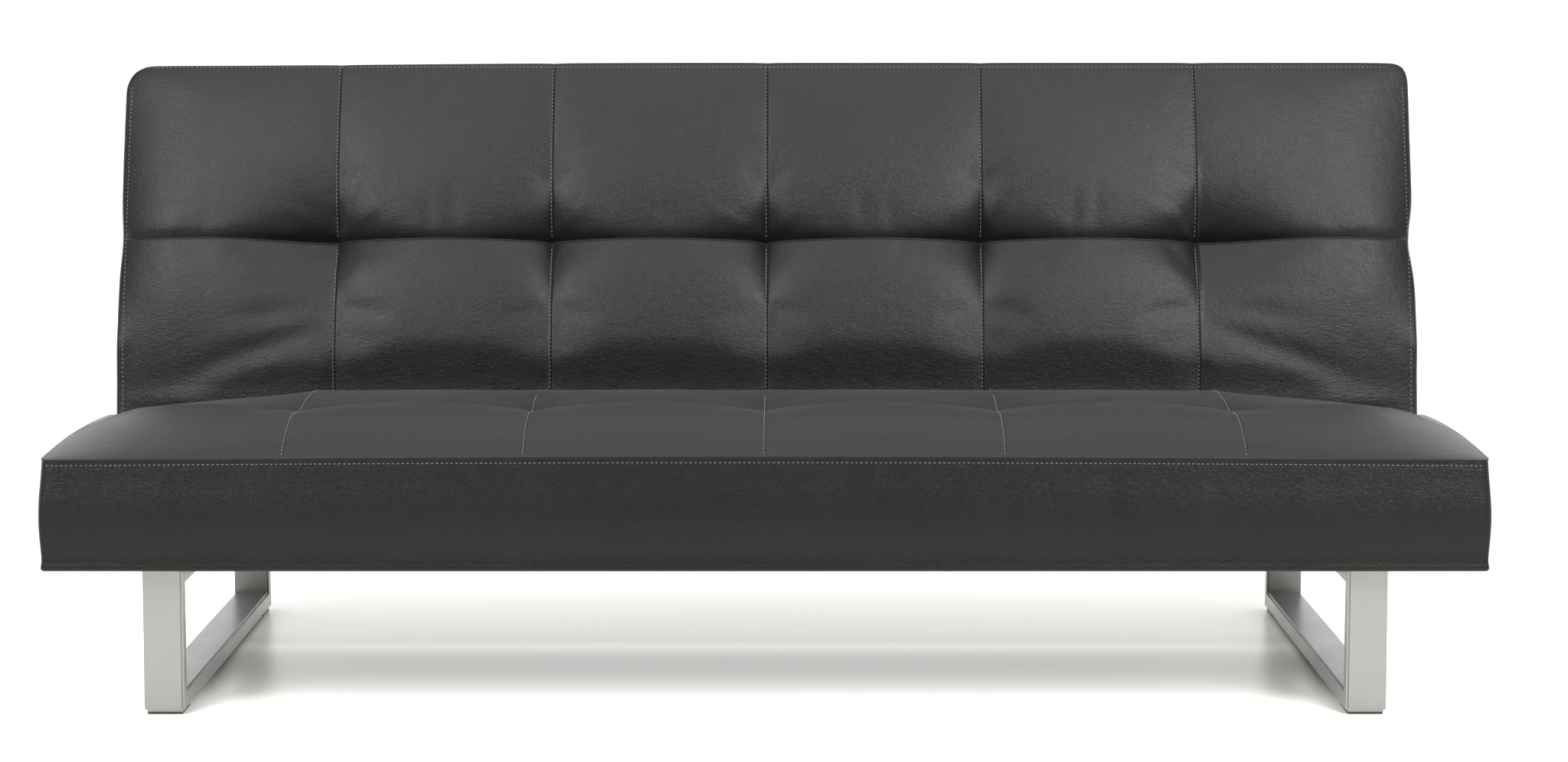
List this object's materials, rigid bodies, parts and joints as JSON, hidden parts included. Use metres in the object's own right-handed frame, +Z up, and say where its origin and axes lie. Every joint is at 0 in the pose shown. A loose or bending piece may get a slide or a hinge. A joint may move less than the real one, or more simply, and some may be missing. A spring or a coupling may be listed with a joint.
{
  "type": "click-clack sofa bed",
  "caption": "Armless click-clack sofa bed: tufted leatherette seat and reclining back on two flat-tube sled legs, hinged about one hidden axis so that it opens flat.",
  "frame": {"origin": "on the floor, under the middle of the outside box", "axes": "+Z up, +X to the right as seen from the front, the sofa faces -Y"},
  "size_m": [1.8, 0.84, 0.7997],
  "materials": {
    "black_leatherette": "soft satin sheen, fine pebble grain",
    "black_lining": "matte non-woven lining",
    "satin_steel_tube": "satin grey metal, brushed along the tube",
    "black_steel": "black powder coat",
    "zinc_steel": "bright zinc plate",
    "pine": "planed softwood",
    "birch_ply": "sanded plywood",
    "cream_foam": "open-cell foam",
    "black_nylon": "matte moulded",
    "black_rubber": "matte"
  },
  "bodies": {
    "base": {"leg_frame_left": "satin_steel_tube", "leg_frame_right": "satin_steel_tube", "base_front_rail": "satin_steel_tube", "base_rear_rail": "satin_steel_tube", "floor_glide_front_left": "black_nylon", "floor_glide_rear_left": "black_nylon", "seat_rest_pad_front_left": "black_rubber", "seat_rest_pad_rear_left": "black_rubber", "back_rest_pad_left": "black_rubber", "hinge_bracket_left": "black_steel", "pivot_bolt_left": "zinc_steel", "pivot_nut_left": "zinc_steel", "floor_glide_front_right": "black_nylon", "floor_glide_rear_right": "black_nylon", "seat_rest_pad_front_right": "black_rubber", "seat_rest_pad_rear_right": "black_rubber", "back_rest_pad_right": "black_rubber", "hinge_bracket_right": "black_steel", "pivot_bolt_right": "zinc_steel", "pivot_nut_right": "zinc_steel"},
    "seat": {"seat_cover": "black_leatherette", "seat_foam": "cream_foam", "seat_dust_cover": "black_lining", "seat_frame_front_rail": "pine", "seat_frame_rear_rail": "pine", "seat_frame_left_rail": "pine", "seat_frame_centre_rail": "pine", "seat_frame_right_rail": "pine", "seat_slat_1": "birch_ply", "seat_slat_2": "birch_ply", "seat_slat_3": "birch_ply", "seat_slat_4": "birch_ply", "seat_slat_5": "birch_ply", "seat_slat_6": "birch_ply", "seat_hinge_arm_left": "black_steel", "seat_hinge_arm_right": "black_steel", "pawl_pin_left": "zinc_steel", "pawl_pin_right": "zinc_steel", "pawl_spring_left": "zinc_steel", "pawl_spring_right": "zinc_steel"},
    "back": {"back_cover": "black_leatherette", "back_foam": "cream_foam", "back_rear_panel": "black_lining", "back_frame_top_rail": "pine", "back_frame_lower_rail": "pine", "back_frame_left_stile": "pine", "back_frame_centre_stile": "pine", "back_frame_right_stile": "pine", "back_frame_left_hinge_stile": "pine", "back_frame_right_hinge_stile": "pine", "back_slat_1": "birch_ply", "back_slat_2": "birch_ply", "back_slat_3": "birch_ply", "back_slat_4": "birch_ply", "back_hinge_arm_left": "black_steel", "back_hinge_arm_right": "black_steel"},
    "pawl_left": {"pawl_left": "zinc_steel"},
    "pawl_right": {"pawl_right": "zinc_steel"}
  },
  "joints": [
    {"name": "seat_lift", "type": "hinge", "parent": "base", "child": "seat", "pos_m": [0, 0.1225, 0.3], "axis": [-1, 0, 0], "range_deg": [0, 20]},
    {"name": "back_recline", "type": "hinge", "parent": "base", "child": "back", "pos_m": [0, 0.1225, 0.3], "axis": [-1, 0, 0], "range_deg": [0, 72]},
    {"name": "pawl_left_lift", "type": "hinge", "parent": "seat", "child": "pawl_left", "pos_m": [-0.6955, 0.1125, 0.229], "axis": [1, 0, 0], "range_deg": [0, 14], "stiffness_Nm_per_rad": 0.6, "springref_deg": -20.05},
    {"name": "pawl_right_lift", "type": "hinge", "parent": "seat", "child": "pawl_right", "pos_m": [0.6955, 0.1125, 0.229], "axis": [1, 0, 0], "range_deg": [0, 14], "stiffness_Nm_per_rad": 0.6, "springref_deg": -20.05}
  ]
}
